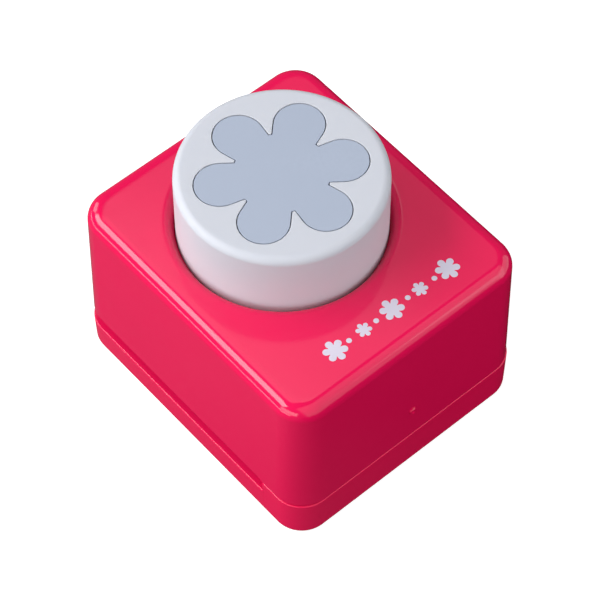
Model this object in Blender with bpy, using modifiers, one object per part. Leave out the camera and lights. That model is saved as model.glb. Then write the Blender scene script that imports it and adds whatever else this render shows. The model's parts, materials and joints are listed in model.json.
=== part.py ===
"""Craft punch: a push-button paper punch that cuts a six-petal flower.

Frame: origin at the middle of the underside, +Z up, -Y is the closed front of the paper
throat and +Y its open back. Lengths are in metres. The button and everything under it
slide down along -Z, far enough for the punch to pass through the die.
"""
import math

import bmesh
import bpy
from mathutils import Matrix, Vector

# ---- driving dimensions: housing ----
CASE_TOP_WIDTH = 0.0779         # X, where the sloping walls meet the top plane
CASE_TOP_DEPTH = 0.0900         # Y
CASE_TOP_Z = 0.0577
DRAFT = math.tan(math.radians(1.03))
CORNER_RADIUS = 0.0087
TOP_EDGE_RADIUS = 0.00435
WALL = 0.0025
INNER_EDGE_RADIUS = 0.0019      # under the roof, all round
SEAM_Z = 0.0138                 # case's lower edge over the front block
THROAT_TOP_Z = 0.0143           # case's lower edge over the paper throat
THROAT_FLOOR_Z = 0.0095         # top of the base's ledge
THROAT_BACK_Y = -0.0310         # where the front block begins
BASE_UNDERCUT = 0.0002          # the base is this much smaller each side at the floor
BASE_EDGE_RADIUS = 0.00125
BASE_FLOOR = 0.0024
GAP = 0.0003                    # left between pieces that touch
OVER = 0.0010                   # how far a cutter runs past the face that it cuts
BEYOND = 0.0600                 # further out than the case reaches from the Z axis

# ---- driving dimensions: button and cutting set ----
BUTTON_Y = 0.0065               # the button's axis, at X = 0
BUTTON_RADIUS = 0.0280
BUTTON_TOP_Z = 0.0767
BUTTON_EDGE_RADIUS = 0.0028
BUTTON_WALL = 0.0024
FLANGE_RADIUS = 0.0304
FLANGE_THICKNESS = 0.0025
BUTTON_ROOF = 0.0037
COLLAR_RADIUS = 0.0286          # hole in the case round the button
COLLAR_OUTER_RADIUS = 0.0332
DISH_RADIUS = 0.0311
DISH_DEPTH = 0.0032
PETALS = 6
PETAL_TURN = math.radians(33)   # first petal's axis, from +X
PETAL_CENTRE = 0.0162           # flower centre to the middle of a petal's round end
PETAL_RADIUS = 0.0068
NOTCH_RADIUS = 0.01255          # flower centre to the floor of a notch
NOTCH_ANGLE = math.radians(28)  # a notch's corners, from the petal's axis
INLAY_THICKNESS = 0.0012
INLAY_SET_BACK = 0.0001         # its face lies this far below the button's top
DIE_THICKNESS = 0.0030
STRIPPER_THICKNESS = 0.0020
PUNCH_HEIGHT = 0.0100
TONGUE_HALF_X = 0.0260          # the plates' narrow front part, under the paper stop
PLATE_FRONT_Y = -0.0380
DIE_HALF_X = 0.0330
DIE_SHOULDER_Y = -0.0311        # where the die plate widens behind its tongue
DIE_BACK_Y = 0.0400
STRIPPER_HALF_X = 0.0350
STRIPPER_SHOULDER_Y = -0.0317
STRIPPER_BACK_Y = 0.0413
SHOULDER_SLOPE = 0.0005         # fall of the shoulder from the side to the tongue
STOP_HALF_X = 0.0257
WINDOW_HALF = 0.0250            # the chip window in the base, round the button's axis
WINDOW_CORNER = 0.0015
CHUTE_WALL = 0.0016
FIT_PUNCH = 0.0001              # how much smaller the punch and inlay are, each side
FIT_STRIPPER = 0.0003
FIT_POCKET = 0.0002

# ---- heights worked out from them ----
DIE_TOP_Z = THROAT_FLOOR_Z
DIE_LOW_Z = DIE_TOP_Z - DIE_THICKNESS
DIE_SEAT_Z = DIE_LOW_Z - GAP
STRIPPER_TOP_Z = THROAT_TOP_Z + STRIPPER_THICKNESS
COLUMN_LOW_Z = STRIPPER_TOP_Z + GAP
PUNCH_LOW_Z = THROAT_TOP_Z + 0.0005     # just inside the stripper plate
PUNCH_TOP_Z = PUNCH_LOW_Z + PUNCH_HEIGHT
COLLAR_LOW_Z = CASE_TOP_Z - DISH_DEPTH - WALL
FLANGE_TOP_Z = COLLAR_LOW_Z - GAP
FLANGE_LOW_Z = FLANGE_TOP_Z - FLANGE_THICKNESS
RAM_TOP_Z = FLANGE_LOW_Z - 0.0012
RAM_THICKNESS = 0.0040
RAM_LOW_Z = RAM_TOP_Z - RAM_THICKNESS
PILOT_TOP_Z = 0.0252            # blind ends of the holes in the case's columns
COLUMN_SCREW_TIP_Z = 0.0245
ROOF_Z = CASE_TOP_Z - WALL

# ---- fastener and guide places ----
POST_X = 0.0290
POST_REACH_Y = 0.0215           # from the button's axis
POST_RADIUS = 0.0025
BUSH_RADIUS = 0.0042
BUSH_FLANGE_RADIUS = 0.0054
BUSH_FLANGE_THICKNESS = 0.0010
SPRING_WIRE_RADIUS = 0.00065
SPRING_RADIUS = 0.0039
SPRING_TURNS = 5
SCREW_RADIUS = 0.0014
SCREW_HOLE_RADIUS = 0.0017
HEAD_RADIUS = 0.0028
HEAD_HEIGHT = 0.0016
SINK_DEPTH = HEAD_HEIGHT + 0.0007
HEAD_INSET = 0.0004             # the base screws' heads lie this far above the floor
COLUMN_RADIUS = 0.0032
SEAT_RADIUS = 0.0038
POST_CHAMFER = 0.0005
POST_OVERRUN = 0.0035           # length of a post above the ram
BUSH_CLEARANCE = 0.0001
COUNTERSINK_DEPTH = 0.0018
COUNTERSINK_RADIUS = 0.0036
COUNTERSUNK_HEIGHT = 0.0013     # of the flush screws' heads
RAM_MARGIN = 0.0002             # the ram's edge outside the bush flanges
RAM_HUB_RADIUS = 0.0150
RAM_HUB_BORE = 0.0075
CAP_SCREW_CIRCLE = 0.0200
CAP_SCREW_REACH = 0.0080        # into the cap's bosses, from the ram's top
PUNCH_SCREW_CIRCLE = 0.0112
PUNCH_SCREW_REACH = 0.0060      # into the punch, from its top
REAR_COLUMN = (0.0315, 0.0375)
FRONT_COLUMN = (0.0310, -0.0270)
BASE_SCREW = (0.0325, -0.0388)
DIE_SCREWS_Y = (-0.0100, 0.0360)
DIE_SCREW_X = 0.0290
STACK_SCREW = (0.0180, -0.0350)

MATERIALS = {                   # linear colour, roughness, metallic
    "case_red": ((0.79, 0.010, 0.076), 0.15, 0.0),
    "base_red": ((0.73, 0.009, 0.070), 0.22, 0.0),
    "button_white": ((0.80, 0.81, 0.84), 0.28, 0.0),
    "inlay_grey": ((0.45, 0.51, 0.62), 0.35, 0.0),
    "ram_white": ((0.70, 0.70, 0.70), 0.45, 0.0),
    "plate_steel": ((0.55, 0.56, 0.58), 0.32, 1.0),
    "punch_steel": ((0.62, 0.62, 0.63), 0.25, 1.0),
    "post_steel": ((0.66, 0.66, 0.67), 0.18, 1.0),
    "spring_steel": ((0.50, 0.50, 0.52), 0.28, 1.0),
    "bush_brass": ((0.75, 0.53, 0.22), 0.30, 1.0),
    "screw_steel": ((0.58, 0.58, 0.60), 0.30, 1.0),
}


# ---- scene, materials and small tools ----
def new_collection(name):
    collection = bpy.data.collections.new(name)
    bpy.context.scene.collection.children.link(collection)
    return collection


def make_material(name):
    colour, roughness, metallic = MATERIALS[name]
    material = bpy.data.materials.new(name)
    material.use_nodes = True
    shader = material.node_tree.nodes["Principled BSDF"]
    shader.inputs["Base Color"].default_value = (*colour, 1.0)
    shader.inputs["Roughness"].default_value = roughness
    shader.inputs["Metallic"].default_value = metallic
    material.diffuse_color = (*colour, 1.0)
    return material


for old in list(bpy.data.objects):
    bpy.data.objects.remove(old, do_unlink=True)
PARTS = new_collection("craft_punch")
CUTTERS = new_collection("craft_punch_cutters")
FINISHES = {name: make_material(name) for name in MATERIALS}


def add_object(name, mesh, material=None):
    """A part where a material is named, else a hidden cutter."""
    item = bpy.data.objects.new(name, mesh)
    if material:
        PARTS.objects.link(item)
        mesh.materials.append(FINISHES[material])
    else:
        CUTTERS.objects.link(item)
        item.display_type = "WIRE"
        item.hide_render = True
    return item


def smooth(item):
    item.data.shade_smooth()
    item.data.set_sharp_from_angle(angle=math.radians(35))
    return item


def boolean(target, other, operation):
    step = target.modifiers.new(other.name, "BOOLEAN")
    step.operation = operation
    step.solver = "EXACT"
    step.object = other
    return target


def mesh_from(bm, name):
    mesh = bpy.data.meshes.new(name)
    bm.to_mesh(mesh)
    bm.free()
    return mesh


def evaluated_copy(item):
    """The item's shape with its modifiers, as a mesh with its loose caps welded."""
    bpy.context.view_layer.update()
    graph = bpy.context.evaluated_depsgraph_get()
    mesh = bpy.data.meshes.new_from_object(item.evaluated_get(graph), depsgraph=graph)
    bm = bmesh.new()
    bm.from_mesh(mesh)
    bmesh.ops.remove_doubles(bm, verts=bm.verts, dist=1e-6)
    bm.to_mesh(mesh)
    bm.free()
    return mesh


# ---- outlines ----
def circle(centre, radius, sides=16):
    return [Vector((centre[0] + radius * math.cos(2 * math.pi * k / sides),
                    centre[1] + radius * math.sin(2 * math.pi * k / sides)))
            for k in range(sides)]


def flower(clearance=0.0, arc_steps=10):
    """Six round petals with straight flanks that run in to narrow notches."""
    corner = Vector((NOTCH_RADIUS * math.cos(NOTCH_ANGLE), NOTCH_RADIUS * math.sin(NOTCH_ANGLE)))
    to_corner = corner - Vector((PETAL_CENTRE, 0.0))
    tangent = math.atan2(to_corner.y, to_corner.x) - math.acos(PETAL_RADIUS / to_corner.length)
    petal = [Vector((corner.x, -corner.y))]
    for k in range(arc_steps + 1):
        turn = -tangent + 2 * tangent * k / arc_steps
        petal.append(Vector((PETAL_CENTRE + PETAL_RADIUS * math.cos(turn),
                             PETAL_RADIUS * math.sin(turn))))
    petal.append(corner)
    points = []
    for k in range(PETALS):
        spin = Matrix.Rotation(PETAL_TURN + 2 * math.pi * k / PETALS, 2)
        points.extend(spin @ point + Vector((0.0, BUTTON_Y)) for point in petal)
    return grown(points, clearance)


def grown(points, amount):
    """The outline moved outwards by the amount, each corner mitred."""
    moved = []
    for k, point in enumerate(points):
        before = (point - points[k - 1]).normalized()
        after = (points[(k + 1) % len(points)] - point).normalized()
        normal = Vector((before.y + after.y, -before.x - after.x)).normalized()
        reach = amount / max(0.5, normal.dot(Vector((before.y, -before.x))))
        moved.append(point + normal * reach)
    return moved


def rounded_rectangle(half_x, low_y, high_y, radius, steps=4):
    points = []
    far_x = half_x - radius
    far_y = high_y - radius
    near_y = low_y + radius
    for k, centre in enumerate([(far_x, far_y), (-far_x, far_y), (-far_x, near_y), (far_x, near_y)]):
        for j in range(steps + 1):
            turn = math.pi / 2 * (k + j / steps)
            points.append(Vector(centre) + radius * Vector((math.cos(turn), math.sin(turn))))
    return points


def tongued_outline(half_x, shoulder_y, back_y, margin=0.0):
    """A rectangle with a narrower tongue at its front, for the plates and their pocket."""
    side = half_x + margin
    tongue = TONGUE_HALF_X + margin
    front_y = PLATE_FRONT_Y - margin
    wide_y = shoulder_y - margin
    neck_y = wide_y - SHOULDER_SLOPE
    left = [(-side, back_y + margin), (-side, wide_y), (-tongue, neck_y), (-tongue, front_y)]
    right = [(-x, y) for x, y in reversed(left)]
    return [Vector(point) for point in left + right]


# ---- solids ----
def plate(name, outlines, low_z, high_z, material=None):
    """A flat plate: a filled 2D curve, extruded; the outlines inside the first are holes."""
    curve = bpy.data.curves.new(name, "CURVE")
    curve.dimensions = "2D"
    curve.fill_mode = "BOTH"
    curve.extrude = (high_z - low_z) / 2
    for outline in outlines:
        spline = curve.splines.new("POLY")
        spline.points.add(len(outline) - 1)
        for point, place in zip(spline.points, outline):
            point.co = (place.x, place.y, 0.0, 1.0)
        spline.use_cyclic_u = True
    drawn = bpy.data.objects.new(name + "_curve", curve)
    drawn.location.z = (low_z + high_z) / 2
    CUTTERS.objects.link(drawn)
    mesh = evaluated_copy(drawn)
    item = add_object(name, mesh, material)
    item.matrix_world = drawn.matrix_world.copy()
    bpy.data.objects.remove(drawn, do_unlink=True)
    return item


def turned(name, profile, centre, material=None, sides=16):
    """A turned solid; the profile runs down its outer side from the axis to the axis."""
    bm = bmesh.new()
    ring = [bm.verts.new((radius, 0.0, z)) for radius, z in profile]
    for upper, lower in zip(ring, ring[1:]):
        bm.edges.new((upper, lower))
    if profile[0][0] > 0:
        bm.edges.new((ring[-1], ring[0]))
    item = add_object(name, mesh_from(bm, name), material)
    item.location = (centre[0], centre[1], 0.0)
    screw = item.modifiers.new("turn", "SCREW")
    screw.steps = sides
    screw.render_steps = sides
    screw.use_merge_vertices = True
    screw.merge_threshold = 1e-5
    screw.use_smooth_shade = True
    return item


def cylinders(name, centres, radius, low_z, high_z, sides=16):
    """One cutter of several separate cylinders."""
    bm = bmesh.new()
    for x, y in centres:
        bmesh.ops.create_cone(bm, cap_ends=True, segments=sides, radius1=radius, radius2=radius,
                              depth=high_z - low_z,
                              matrix=Matrix.Translation((x, y, (low_z + high_z) / 2)))
    return add_object(name, mesh_from(bm, name))


def box(name, low, high, material=None):
    bm = bmesh.new()
    size = [b - a for a, b in zip(low, high)]
    middle = [(a + b) / 2 for a, b in zip(low, high)]
    place = Matrix.Translation(middle) @ Matrix.Diagonal((*size, 1.0))
    bmesh.ops.create_cube(bm, size=1.0, matrix=place)
    return add_object(name, mesh_from(bm, name), material)


def half_width(z):
    return CASE_TOP_WIDTH / 2 + (CASE_TOP_Z - z) * DRAFT


def half_depth(z):
    return CASE_TOP_DEPTH / 2 + (CASE_TOP_Z - z) * DRAFT


def rounded_block(name, low, high, corner, top_edge=0.0, bottom_edge=0.0, material=None):
    """A tapered box with round upright corners; low and high are (half x, half y, z)."""
    bm = bmesh.new()
    bmesh.ops.create_cube(bm, size=2.0)
    for vert in bm.verts:
        half_x, half_y, z = high if vert.co.z > 0 else low
        vert.co = (vert.co.x * half_x, vert.co.y * half_y, z)
    middle_z = (low[2] + high[2]) / 2

    def round_edges(edges, radius, steps):
        bmesh.ops.bevel(bm, geom=edges, offset=radius, offset_type="OFFSET", segments=steps,
                        profile=0.5, affect="EDGES", clamp_overlap=False)

    uprights = [e for e in bm.edges if (e.verts[0].co.z > middle_z) != (e.verts[1].co.z > middle_z)]
    round_edges(uprights, corner, 6)
    for z, radius in ((high[2], top_edge), (low[2], bottom_edge)):
        rim = [e for e in bm.edges if all(abs(v.co.z - z) < 1e-7 for v in e.verts)]
        if radius:
            round_edges(rim, radius, 4)
    return add_object(name, mesh_from(bm, name), material)


def around_button(radius, count, start=0.0):
    turns = [start + 2 * math.pi * k / count for k in range(count)]
    return [(radius * math.cos(turn), BUTTON_Y + radius * math.sin(turn)) for turn in turns]


def mirrored(place):
    return [place, (-place[0], place[1])]


POSTS = [(x, BUTTON_Y + y) for y in (-POST_REACH_Y, POST_REACH_Y) for x in (-POST_X, POST_X)]
COLUMNS = mirrored(FRONT_COLUMN) + mirrored(REAR_COLUMN)
BASE_SCREWS = mirrored(BASE_SCREW)
DIE_SCREWS = [place for y in DIE_SCREWS_Y for place in mirrored((DIE_SCREW_X, y))]
STACK_SCREWS = mirrored(STACK_SCREW)
CAP_SCREWS = around_button(CAP_SCREW_CIRCLE, 4, math.pi / 4)
PUNCH_SCREWS = around_button(PUNCH_SCREW_CIRCLE, 3, math.pi / 2)


# ---- housing ----
def make_upper_case():
    case = rounded_block("upper_case", (half_width(SEAM_Z), half_depth(SEAM_Z), SEAM_Z),
                         (half_width(CASE_TOP_Z), half_depth(CASE_TOP_Z), CASE_TOP_Z),
                         CORNER_RADIUS, top_edge=TOP_EDGE_RADIUS, material="case_red")
    below = SEAM_Z - 4 * OVER
    cavity = rounded_block("case_cavity", (half_width(below) - WALL, half_depth(below) - WALL, below),
                           (half_width(ROOF_Z) - WALL, half_depth(ROOF_Z) - WALL, ROOF_Z),
                           CORNER_RADIUS - WALL, top_edge=INNER_EDGE_RADIUS)
    collar = cylinders("collar_core", [(0.0, BUTTON_Y)], COLLAR_OUTER_RADIUS, COLLAR_LOW_Z,
                       CASE_TOP_Z + OVER, 48)
    boolean(cavity, collar, "DIFFERENCE")
    columns = cylinders("column_cores", COLUMNS, COLUMN_RADIUS, COLUMN_LOW_Z, CASE_TOP_Z, 12)
    boolean(cavity, columns, "DIFFERENCE")
    front = cylinders("front_cores", BASE_SCREWS, COLUMN_RADIUS, SEAM_Z, CASE_TOP_Z, 12)
    boolean(cavity, front, "DIFFERENCE")
    boolean(case, cavity, "DIFFERENCE")
    slope = (DISH_RADIUS - COLLAR_RADIUS) / DISH_DEPTH
    profile = [(0.0, CASE_TOP_Z + OVER),
               (DISH_RADIUS + OVER * slope, CASE_TOP_Z + OVER),
               (COLLAR_RADIUS, CASE_TOP_Z - DISH_DEPTH),
               (COLLAR_RADIUS, COLLAR_LOW_Z - OVER),
               (0.0, COLLAR_LOW_Z - OVER)]
    dish = turned("dish_cutter", profile, (0.0, BUTTON_Y), sides=48)
    boolean(case, dish, "DIFFERENCE")
    throat = box("throat_edge_cutter", (-BEYOND, THROAT_BACK_Y, SEAM_Z - OVER),
                 (BEYOND, BEYOND, THROAT_TOP_Z))
    boolean(case, throat, "DIFFERENCE")
    pilots = cylinders("column_pilots", COLUMNS, SCREW_HOLE_RADIUS, COLUMN_LOW_Z - OVER, PILOT_TOP_Z, 12)
    boolean(case, pilots, "DIFFERENCE")
    front_pilots = cylinders("front_pilots", BASE_SCREWS, SCREW_HOLE_RADIUS, SEAM_Z - OVER, PILOT_TOP_Z, 12)
    boolean(case, front_pilots, "DIFFERENCE")
    return smooth(case)


def make_base_tray():
    top = SEAM_Z - GAP
    base = rounded_block("base_tray",
                         (half_width(SEAM_Z) - BASE_UNDERCUT, half_depth(SEAM_Z) - BASE_UNDERCUT, 0.0),
                         (half_width(SEAM_Z), half_depth(SEAM_Z), top),
                         CORNER_RADIUS, bottom_edge=BASE_EDGE_RADIUS, material="base_red")
    ledge = box("ledge_cutter", (-BEYOND, THROAT_BACK_Y, THROAT_FLOOR_Z), (BEYOND, BEYOND, top + OVER))
    boolean(base, ledge, "DIFFERENCE")
    outline = tongued_outline(DIE_HALF_X, DIE_SHOULDER_Y, DIE_BACK_Y, GAP)
    pocket = plate("pocket_cutter", [outline], BASE_FLOOR, top + OVER)
    seats = cylinders("seat_cores", DIE_SCREWS, SEAT_RADIUS, BASE_FLOOR - OVER, DIE_SEAT_Z, 12)
    boolean(pocket, seats, "DIFFERENCE")
    low_y = BUTTON_Y - WINDOW_HALF
    high_y = BUTTON_Y + WINDOW_HALF
    outline = rounded_rectangle(WINDOW_HALF + CHUTE_WALL, low_y - CHUTE_WALL, high_y + CHUTE_WALL,
                                WINDOW_CORNER + CHUTE_WALL)
    chute = plate("chute_core", [outline], BASE_FLOOR - OVER, DIE_SEAT_Z)
    boolean(pocket, chute, "DIFFERENCE")
    boolean(base, pocket, "DIFFERENCE")
    outline = rounded_rectangle(WINDOW_HALF, low_y, high_y, WINDOW_CORNER)
    window = plate("window_cutter", [outline], -OVER, DIE_SEAT_Z + OVER)
    boolean(base, window, "DIFFERENCE")
    screws = DIE_SCREWS + BASE_SCREWS
    holes = cylinders("base_holes", screws, SCREW_HOLE_RADIUS, -OVER, top + OVER, 12)
    boolean(base, holes, "DIFFERENCE")
    sinks = cylinders("head_sinks", screws, HEAD_RADIUS + GAP, -OVER, SINK_DEPTH, 16)
    boolean(base, sinks, "DIFFERENCE")
    return smooth(base)


def make_die_plate():
    outline = tongued_outline(DIE_HALF_X, DIE_SHOULDER_Y, DIE_BACK_Y)
    holes = [circle(place, SCREW_HOLE_RADIUS, 12) for place in DIE_SCREWS + STACK_SCREWS]
    smooth(plate("die_plate", [outline, flower(FIT_PUNCH)] + holes, DIE_LOW_Z, DIE_TOP_Z, "plate_steel"))


def make_stripper_plate():
    outline = tongued_outline(STRIPPER_HALF_X, STRIPPER_SHOULDER_Y, STRIPPER_BACK_Y)
    holes = [circle(place, SCREW_HOLE_RADIUS, 12) for place in STACK_SCREWS + COLUMNS]
    holes += [circle(place, POST_RADIUS + GAP, 16) for place in POSTS]
    stripper = plate("stripper_plate", [outline, flower(FIT_STRIPPER)] + holes,
                     THROAT_TOP_Z, STRIPPER_TOP_Z, "plate_steel")
    sinks = bmesh.new()
    for x, y in COLUMNS:
        middle_z = THROAT_TOP_Z - GAP + COUNTERSINK_DEPTH / 2
        bmesh.ops.create_cone(sinks, cap_ends=True, segments=16, radius1=COUNTERSINK_RADIUS,
                              radius2=SCREW_RADIUS, depth=COUNTERSINK_DEPTH,
                              matrix=Matrix.Translation((x, y, middle_z)))
    boolean(stripper, add_object("countersinks", mesh_from(sinks, "countersinks")), "DIFFERENCE")
    smooth(stripper)


def make_paper_stop():
    back_y = THROAT_BACK_Y - GAP
    outline = [Vector(corner) for corner in ((STOP_HALF_X, back_y), (-STOP_HALF_X, back_y),
                                             (-STOP_HALF_X, PLATE_FRONT_Y), (STOP_HALF_X, PLATE_FRONT_Y))]
    holes = [circle(place, SCREW_HOLE_RADIUS, 12) for place in STACK_SCREWS]
    smooth(plate("paper_stop", [outline] + holes, DIE_TOP_Z + GAP, THROAT_TOP_Z - GAP, "plate_steel"))


def make_guides_and_springs():
    post_top_z = RAM_TOP_Z + POST_OVERRUN
    post_low_z = THROAT_TOP_Z + GAP
    flange_top_z = RAM_LOW_Z - GAP
    flange_low_z = flange_top_z - BUSH_FLANGE_THICKNESS
    bore = POST_RADIUS + BUSH_CLEARANCE
    post_profile = [(0.0, post_top_z), (POST_RADIUS - POST_CHAMFER, post_top_z),
                    (POST_RADIUS, post_top_z - POST_CHAMFER), (POST_RADIUS, post_low_z), (0.0, post_low_z)]
    bush_profile = [(bore, RAM_TOP_Z), (BUSH_RADIUS, RAM_TOP_Z), (BUSH_RADIUS, flange_top_z),
                    (BUSH_FLANGE_RADIUS, flange_top_z), (BUSH_FLANGE_RADIUS, flange_low_z),
                    (bore, flange_low_z)]
    for k, place in enumerate(POSTS, 1):
        turned(f"guide_post_{k}", post_profile, place, "post_steel", 16)
        turned(f"ram_bush_{k}", bush_profile, place, "bush_brass", 16)
        make_spring(f"return_spring_{k}", place, COLUMN_LOW_Z, flange_low_z - GAP)


def make_spring(name, place, low_z, high_z):
    """Five turns: the first and last lie flat, the three between them are open."""
    steps_per_turn = 10
    steps = SPRING_TURNS * steps_per_turn
    closed_pitch = 2.2 * SPRING_WIRE_RADIUS
    start_z = low_z + SPRING_WIRE_RADIUS
    open_rise = high_z - low_z - 2 * SPRING_WIRE_RADIUS - 2 * closed_pitch
    curve = bpy.data.curves.new(name, "CURVE")
    curve.dimensions = "3D"
    curve.bevel_depth = SPRING_WIRE_RADIUS
    curve.bevel_resolution = 2
    curve.use_fill_caps = True
    spline = curve.splines.new("POLY")
    spline.points.add(steps)
    for k, point in enumerate(spline.points):
        turns = k / steps_per_turn
        share = min(max((turns - 1) / (SPRING_TURNS - 2), 0.0), 1.0)
        rise = closed_pitch * (min(turns, 1.0) + max(turns - SPRING_TURNS + 1, 0.0)) + open_rise * share
        angle = 2 * math.pi * turns
        point.co = (SPRING_RADIUS * math.cos(angle), SPRING_RADIUS * math.sin(angle), start_z + rise, 1.0)
    drawn = bpy.data.objects.new(name + "_curve", curve)
    drawn.location = (place[0], place[1], 0.0)
    CUTTERS.objects.link(drawn)
    mesh = evaluated_copy(drawn)
    spring = add_object(name, mesh, "spring_steel")
    spring.matrix_world = drawn.matrix_world.copy()
    bpy.data.objects.remove(drawn, do_unlink=True)
    mesh.shade_smooth()


# ---- the sliding set ----
def make_button_cap():
    top = BUTTON_TOP_Z
    roof = top - BUTTON_ROOF
    inner = BUTTON_RADIUS - BUTTON_WALL
    profile = [(0.0, top)]
    for k in range(5):
        turn = math.pi / 2 * (1 - k / 4)
        profile.append((BUTTON_RADIUS - BUTTON_EDGE_RADIUS * (1 - math.cos(turn)),
                        top - BUTTON_EDGE_RADIUS * (1 - math.sin(turn))))
    profile += [(BUTTON_RADIUS, FLANGE_TOP_Z), (FLANGE_RADIUS, FLANGE_TOP_Z), (FLANGE_RADIUS, FLANGE_LOW_Z),
                (inner, FLANGE_LOW_Z), (inner, roof), (0.0, roof)]
    cap = turned("button_cap", profile, (0.0, BUTTON_Y), "button_white", 48)
    bosses = cylinders("cap_bosses", CAP_SCREWS, COLUMN_RADIUS, RAM_TOP_Z + GAP, roof + OVER, 12)
    boolean(cap, bosses, "UNION")
    pilots = cylinders("cap_pilots", CAP_SCREWS, SCREW_HOLE_RADIUS, RAM_TOP_Z,
                       RAM_TOP_Z + CAP_SCREW_REACH + 2 * GAP, 12)
    boolean(cap, pilots, "DIFFERENCE")
    pocket = plate("inlay_pocket", [flower(FIT_POCKET)], top - INLAY_THICKNESS - 2 * GAP, top + OVER)
    boolean(cap, pocket, "DIFFERENCE")
    smooth(cap)
    smooth(plate("flower_inlay", [flower(-FIT_PUNCH)], top - INLAY_THICKNESS - GAP, top - INLAY_SET_BACK,
                 "inlay_grey"))


def make_ram():
    lug = BUSH_FLANGE_RADIUS + RAM_MARGIN
    reach = POST_REACH_Y + lug
    outline = rounded_rectangle(POST_X + lug, BUTTON_Y - reach, BUTTON_Y + reach, lug)
    holes = [circle(place, BUSH_RADIUS + GAP, 16) for place in POSTS]
    ram = plate("press_ram", [outline] + holes, RAM_LOW_Z, RAM_TOP_Z, "ram_white")
    hub = cylinders("ram_hub", [(0.0, BUTTON_Y)], RAM_HUB_RADIUS, PUNCH_TOP_Z + GAP, RAM_LOW_Z + OVER, 32)
    boolean(ram, hub, "UNION")
    bore = cylinders("ram_bore", [(0.0, BUTTON_Y)], RAM_HUB_BORE, PUNCH_TOP_Z - OVER, RAM_TOP_Z + OVER, 24)
    boolean(ram, bore, "DIFFERENCE")
    holes = cylinders("ram_holes", CAP_SCREWS + PUNCH_SCREWS, SCREW_HOLE_RADIUS, PUNCH_TOP_Z - OVER,
                      RAM_TOP_Z + OVER, 12)
    boolean(ram, holes, "DIFFERENCE")
    smooth(ram)


def make_punch():
    punch = plate("punch", [flower(-FIT_PUNCH)], PUNCH_LOW_Z, PUNCH_TOP_Z, "punch_steel")
    pilots = cylinders("punch_pilots", PUNCH_SCREWS, SCREW_HOLE_RADIUS,
                       PUNCH_TOP_Z - PUNCH_SCREW_REACH - OVER, PUNCH_TOP_Z + OVER, 12)
    boolean(punch, pilots, "DIFFERENCE")
    smooth(punch)


# ---- fasteners ----
def make_screw(name, place, head_z, tip_z):
    """A plain screw; its head's outer face is at head_z and its tip at tip_z."""
    way = 1 if tip_z < head_z else -1
    under_head = head_z - way * HEAD_HEIGHT
    rim_z = head_z - way * HEAD_HEIGHT / 4
    profile = [(0.0, head_z), (HEAD_RADIUS * 0.8, head_z), (HEAD_RADIUS, rim_z), (HEAD_RADIUS, under_head),
               (SCREW_RADIUS, under_head), (SCREW_RADIUS, tip_z), (0.0, tip_z)]
    if way < 0:
        profile.reverse()
    return turned(name, profile, place, "screw_steel", 12)


def make_countersunk_screw(name, place, face_z, tip_z):
    shank = SCREW_RADIUS * 0.9
    profile = [(0.0, tip_z), (shank, tip_z), (shank, face_z + COUNTERSUNK_HEIGHT), (HEAD_RADIUS, face_z),
               (0.0, face_z)]
    return turned(name, profile, place, "screw_steel", 12)


def make_fasteners():
    for k, place in enumerate(CAP_SCREWS, 1):
        make_screw(f"cap_screw_{k}", place, RAM_LOW_Z - GAP - HEAD_HEIGHT, RAM_TOP_Z + CAP_SCREW_REACH)
    for k, place in enumerate(PUNCH_SCREWS, 1):
        make_screw(f"punch_screw_{k}", place, RAM_TOP_Z + GAP + HEAD_HEIGHT, PUNCH_TOP_Z - PUNCH_SCREW_REACH)
    for k, place in enumerate(COLUMNS, 1):
        make_countersunk_screw(f"stripper_screw_{k}", place, THROAT_TOP_Z + GAP / 3, COLUMN_SCREW_TIP_Z)
    for k, place in enumerate(DIE_SCREWS, 1):
        make_screw(f"die_screw_{k}", place, HEAD_INSET, DIE_TOP_Z - GAP)
    for k, place in enumerate(BASE_SCREWS, 1):
        make_screw(f"base_screw_{k}", place, HEAD_INSET, COLUMN_SCREW_TIP_Z)
    for k, place in enumerate(STACK_SCREWS, 1):
        make_screw(f"stack_screw_{k}", place, DIE_LOW_Z - GAP - HEAD_HEIGHT, STRIPPER_TOP_Z + HEAD_INSET)


make_upper_case()
make_base_tray()
make_die_plate()
make_stripper_plate()
make_paper_stop()
make_guides_and_springs()
make_button_cap()
make_ram()
make_punch()
make_fasteners()
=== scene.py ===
import json
import math

import bmesh
import bpy
from mathutils import Matrix, Vector


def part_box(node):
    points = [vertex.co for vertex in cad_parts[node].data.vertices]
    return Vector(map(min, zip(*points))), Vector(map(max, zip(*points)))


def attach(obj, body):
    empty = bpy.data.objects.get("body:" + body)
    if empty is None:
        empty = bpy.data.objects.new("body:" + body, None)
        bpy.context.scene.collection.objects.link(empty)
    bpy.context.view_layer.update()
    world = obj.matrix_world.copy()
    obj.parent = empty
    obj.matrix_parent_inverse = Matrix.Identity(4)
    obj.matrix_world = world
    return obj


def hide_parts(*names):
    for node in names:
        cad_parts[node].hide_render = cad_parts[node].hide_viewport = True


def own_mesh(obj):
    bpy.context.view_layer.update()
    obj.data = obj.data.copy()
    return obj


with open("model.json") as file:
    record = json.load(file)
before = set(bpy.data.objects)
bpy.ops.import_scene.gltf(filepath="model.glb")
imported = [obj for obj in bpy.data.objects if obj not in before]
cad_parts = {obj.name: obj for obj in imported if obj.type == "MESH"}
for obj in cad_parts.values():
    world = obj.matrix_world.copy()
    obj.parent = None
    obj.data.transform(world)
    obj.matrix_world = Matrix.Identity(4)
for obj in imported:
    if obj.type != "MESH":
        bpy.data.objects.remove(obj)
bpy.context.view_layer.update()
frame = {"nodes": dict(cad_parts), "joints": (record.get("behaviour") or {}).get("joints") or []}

mm = 0.001
cutOver = 0.5 * mm                 # how far a cutter runs past the face it opens
hairline = 0.002 * mm
scene = bpy.context.scene
caseLow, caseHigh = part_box("upper_case")
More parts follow.
